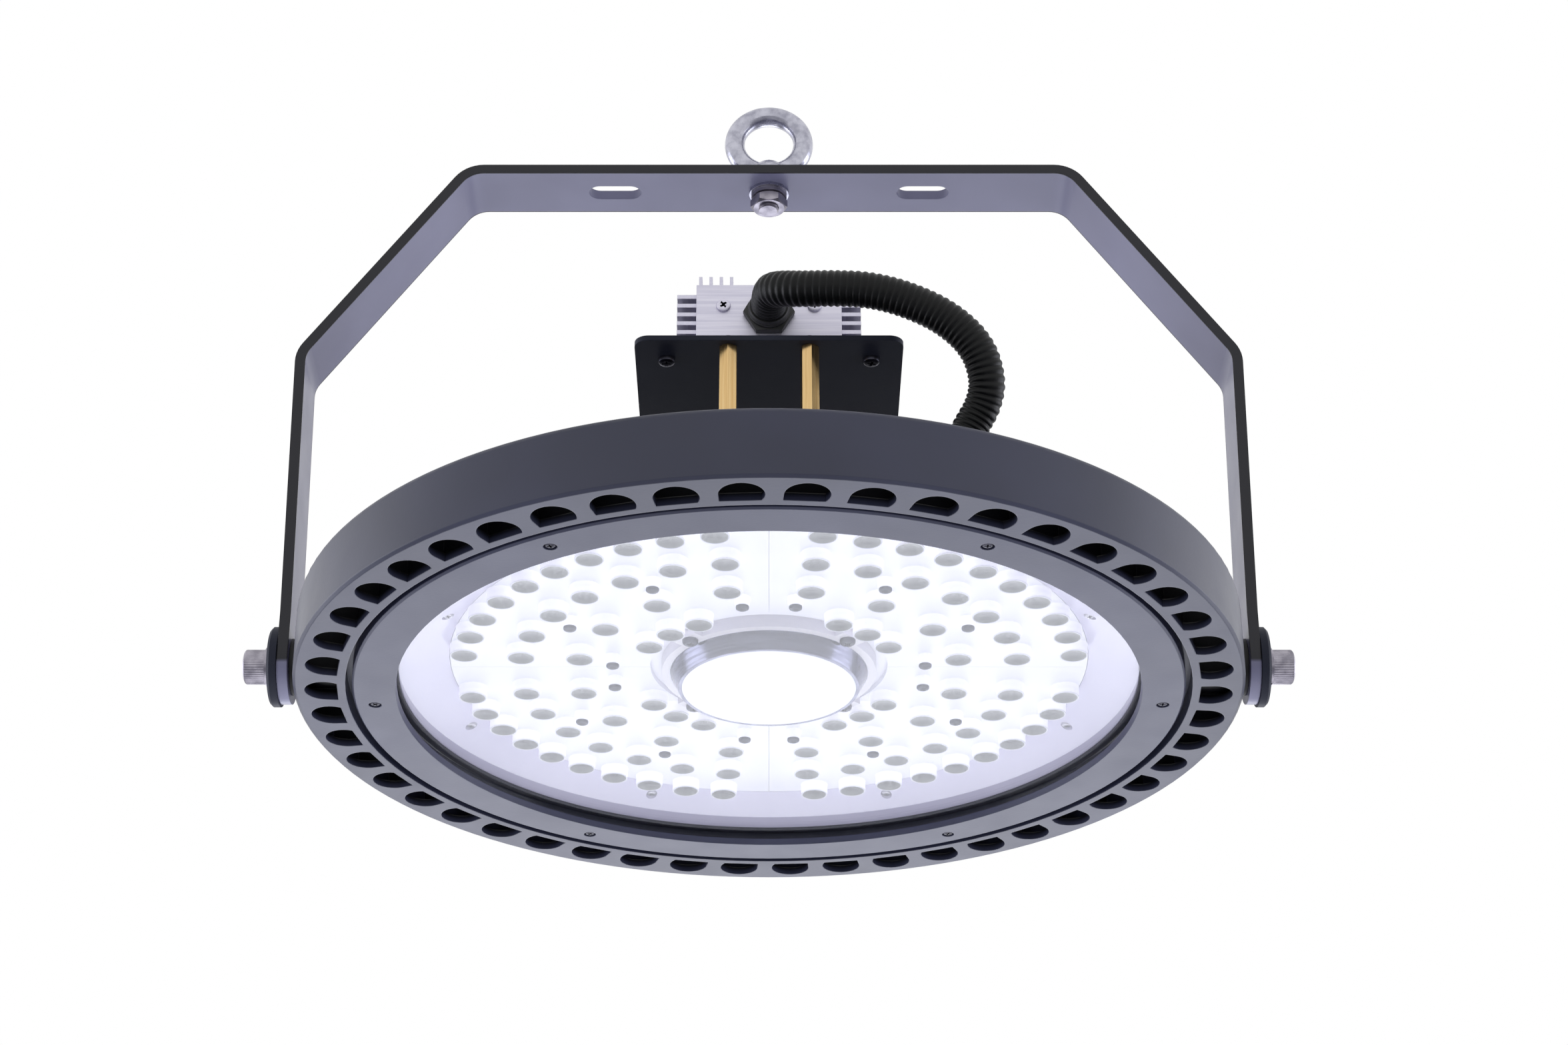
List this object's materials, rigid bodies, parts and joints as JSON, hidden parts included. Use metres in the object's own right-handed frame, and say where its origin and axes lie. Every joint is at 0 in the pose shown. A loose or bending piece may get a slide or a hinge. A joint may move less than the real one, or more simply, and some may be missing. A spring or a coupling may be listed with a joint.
{
  "type": "high bay light",
  "caption": "Round LED high bay light: finned black cast head with a ring of vents, glazed LED panel, driver on a raised shelf, and a tilting yoke with an eye bolt.",
  "frame": {"origin": "on the lamp's axis, in the plane of the bezel's and rim's lower face, on which the lamp rests face down", "axes": "+Z along the lamp's axis from the bezel up to the eye bolt, +X along the tilt axis to the pivot on the side of the conduit, +Y towards the driver's mains inlet"},
  "size_m": [0.3906, 0.35, 0.27],
  "materials": {
    "cast_black": "black powder coat over cast aluminium",
    "bezel_grey": "satin grey-black paint",
    "yoke_black": "black powder coat",
    "shelf_black": "black powder coat",
    "driver_silver": "satin anodised",
    "cap_silver": "satin anodised",
    "potting": "matt",
    "zinc": "bright zinc",
    "steel": "satin stainless",
    "black_nylon": "matt",
    "brass": "bright brass",
    "clear_glass": "clear tempered",
    "silicone": "translucent white silicone",
    "white_board": "white solder mask",
    "lens": "clear polycarbonate over a white board",
    "white_plastic": "gloss white",
    "polished": "polished aluminium"
  },
  "bodies": {
    "lamp": {"housing": "cast_black", "bezel_ring": "bezel_grey", "bezel_screws": "steel", "glass_gasket": "silicone", "glass_cover": "clear_glass", "reflector_ring": "white_plastic", "reflector_screws": "steel", "lens_screws": "steel", "hub_collar": "polished", "hub_plate": "white_plastic", "hub_screws": "zinc", "terminal_block": "white_plastic", "driver_shelf": "shelf_black", "standoffs": "brass", "shelf_screws": "zinc", "driver_case": "driver_silver", "driver_cap_front": "cap_silver", "driver_cap_rear": "cap_silver", "driver_cap_screws": "zinc", "foot_screws": "zinc", "driver_core": "potting", "driver_outlet_gland": "black_nylon", "driver_inlet_gland": "black_nylon", "lamp_gland": "black_nylon", "conduit": "black_nylon", "led_board_1": "white_board", "lens_plate_1": "lens", "led_board_2": "white_board", "lens_plate_2": "lens", "led_board_3": "white_board", "lens_plate_3": "lens", "led_board_4": "white_board", "lens_plate_4": "lens", "pivot_spacer_left": "black_nylon", "pivot_disc_left": "yoke_black", "pivot_spring_washer_left": "zinc", "pivot_bolt_left": "zinc", "pivot_spacer_right": "black_nylon", "pivot_disc_right": "yoke_black", "pivot_spring_washer_right": "zinc", "pivot_bolt_right": "zinc"},
    "yoke": {"yoke": "yoke_black", "eye_bolt": "zinc", "eye_washer": "zinc", "eye_spring_washer": "zinc", "eye_nut": "zinc"}
  },
  "joints": [
    {"name": "yoke_tilt", "type": "hinge", "parent": "lamp", "child": "yoke", "pos_m": [0, 0, 0.0155], "axis": [1, 0, 0], "range_deg": [-90, 90]}
  ]
}
